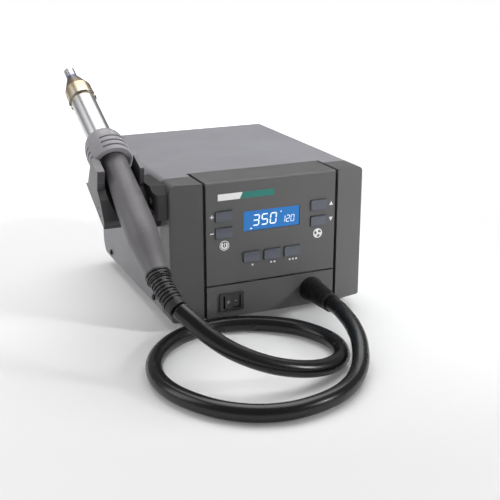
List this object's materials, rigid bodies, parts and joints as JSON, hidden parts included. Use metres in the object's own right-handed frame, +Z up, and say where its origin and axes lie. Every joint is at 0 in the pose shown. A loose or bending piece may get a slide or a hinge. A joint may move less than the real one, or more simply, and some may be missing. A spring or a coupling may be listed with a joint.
{
  "type": "hot air station",
  "caption": "Bench hot air station: grey metal case with a display, push buttons and a rocker switch, a black hose, and a hand piece resting in a cradle on its left side.",
  "frame": {"origin": "centre of the case's footprint, on the surface that the feet stand on", "axes": "+Z up, -Y is the front with the display, +X is to the right seen from the front"},
  "size_m": [0.2438, 0.4176, 0.2171],
  "materials": {
    "tray_steel": "zinc-grey folded steel sheet, satin",
    "cover_paint": "fine textured grey powder coat with a slight violet tone",
    "rear_paint": "textured grey powder coat",
    "bezel_plastic": "fine-textured grey moulding",
    "fascia_plastic": "fine-textured dark grey moulding",
    "window_blue": "clear window over a blue backlit display",
    "display_metal": "display frame",
    "board_green": "green solder mask",
    "switch_black": "black moulded plastic",
    "button_grey": "grey push button",
    "gland_black": "black nylon",
    "boot_rubber": "black ribbed rubber",
    "hose_rubber": "black silicone hose",
    "grip_plastic": "textured grey heat-resistant plastic",
    "collar_plastic": "lighter grey heat-resistant plastic",
    "tube_steel": "polished stainless tube",
    "mica": "mica sheet",
    "ceramic": "white ceramic",
    "heater_wire": "oxidised resistance wire",
    "magnet_nickel": "nickel-plated magnet",
    "cradle_plastic": "dark heat-resistant plastic",
    "screw_black": "blackened steel screw",
    "screw_zinc": "zinc-plated steel screw",
    "reed_glass": "glass reed capsule",
    "blower_plastic": "black blower housing",
    "motor_steel": "motor can",
    "shaft_steel": "ground steel shaft",
    "impeller_plastic": "off-white moulded impeller",
    "duct_plastic": "pale silicone duct",
    "standoff_brass": "brass spacer",
    "transformer_core": "varnished iron and copper",
    "sink_aluminium": "extruded aluminium",
    "capacitor_sleeve": "dark blue sleeve",
    "inlet_black": "black inlet moulding",
    "foot_rubber": "black rubber"
  },
  "bodies": {
    "station": {"base_tray": "tray_steel", "top_cover": "cover_paint", "rear_panel": "rear_paint", "front_bezel": "bezel_plastic", "control_fascia": "fascia_plastic", "connector_panel": "fascia_plastic", "lcd_window": "window_blue", "lcd_module": "display_metal", "display_board": "board_green", "tact_switches": "switch_black", "switch_housing": "switch_black", "hose_gland": "gland_black", "gland_nut": "gland_black", "panel_hose_boot": "boot_rubber", "air_hose": "hose_rubber", "holder_cradle": "cradle_plastic", "holder_bracket": "cradle_plastic", "holder_screws": "screw_black", "reed_switch": "reed_glass", "blower_housing": "blower_plastic", "blower_cover": "blower_plastic", "blower_motor": "motor_steel", "blower_mounts": "foot_rubber", "outlet_duct": "duct_plastic", "main_board": "board_green", "board_standoffs": "standoff_brass", "transformer": "transformer_core", "heat_sink": "sink_aluminium", "triac": "switch_black", "capacitors": "capacitor_sleeve", "mains_inlet": "inlet_black", "fuse_holder": "inlet_black", "earth_stud": "standoff_brass", "foot_front_left": "foot_rubber", "foot_front_right": "foot_rubber", "foot_rear_left": "foot_rubber", "foot_rear_right": "foot_rubber", "foot_screws": "screw_zinc", "cover_screws": "screw_black", "rear_screws": "screw_black"},
    "hand_piece": {"handle_hose_boot": "boot_rubber", "grip_shell": "grip_plastic", "heater_collar": "collar_plastic", "heater_tube": "tube_steel", "mica_sleeve": "mica", "heater_former": "ceramic", "heater_coil": "heater_wire", "handle_board": "board_green", "sleep_magnet": "magnet_nickel"},
    "nozzle_tip": {"nozzle": "tube_steel"},
    "fan_wheel": {"motor_shaft": "shaft_steel", "impeller": "impeller_plastic"},
    "rocker": {"power_rocker": "switch_black"},
    "button_plus_key": {"button_plus": "button_grey"},
    "button_minus_key": {"button_minus": "button_grey"},
    "button_up_key": {"button_up": "button_grey"},
    "button_down_key": {"button_down": "button_grey"},
    "button_preset_1_key": {"button_preset_1": "button_grey"},
    "button_preset_2_key": {"button_preset_2": "button_grey"},
    "button_preset_3_key": {"button_preset_3": "button_grey"}
  },
  "joints": [
    {"name": "button_plus_press", "type": "slide", "parent": "station", "child": "button_plus_key", "axis": [0, 1, 0], "range_m": [0, 0.0012], "stiffness_N_per_m": 500, "springref_m": -0.0004},
    {"name": "button_minus_press", "type": "slide", "parent": "station", "child": "button_minus_key", "axis": [0, 1, 0], "range_m": [0, 0.0012], "stiffness_N_per_m": 500, "springref_m": -0.0004},
    {"name": "button_up_press", "type": "slide", "parent": "station", "child": "button_up_key", "axis": [0, 1, 0], "range_m": [0, 0.0012], "stiffness_N_per_m": 500, "springref_m": -0.0004},
    {"name": "button_down_press", "type": "slide", "parent": "station", "child": "button_down_key", "axis": [0, 1, 0], "range_m": [0, 0.0012], "stiffness_N_per_m": 500, "springref_m": -0.0004},
    {"name": "button_preset_1_press", "type": "slide", "parent": "station", "child": "button_preset_1_key", "axis": [0, 1, 0], "range_m": [0, 0.0012], "stiffness_N_per_m": 500, "springref_m": -0.0004},
    {"name": "button_preset_2_press", "type": "slide", "parent": "station", "child": "button_preset_2_key", "axis": [0, 1, 0], "range_m": [0, 0.0012], "stiffness_N_per_m": 500, "springref_m": -0.0004},
    {"name": "button_preset_3_press", "type": "slide", "parent": "station", "child": "button_preset_3_key", "axis": [0, 1, 0], "range_m": [0, 0.0012], "stiffness_N_per_m": 500, "springref_m": -0.0004},
    {"name": "power_rocker_tilt", "type": "hinge", "parent": "station", "child": "rocker", "pos_m": [-0.0395, -0.109, 0.025], "axis": [0, 0, 1], "range_deg": [-16, 0]},
    {"name": "hand_piece_lift", "type": "slide", "parent": "station", "child": "hand_piece", "axis": [0, -0.5105, 0.8599], "range_m": [0, 0.06]},
    {"name": "nozzle_twist", "type": "hinge", "parent": "hand_piece", "child": "nozzle_tip", "pos_m": [-0.12778, -0.05915, 0.14757], "axis": [-0.0593, 0.8583, 0.5096], "range_deg": [0, 30]},
    {"name": "fan_spin", "type": "hinge", "parent": "station", "child": "fan_wheel", "pos_m": [-0.001, 0.0525, 0.04], "axis": [0, 0, 1], "continuous": true}
  ]
}
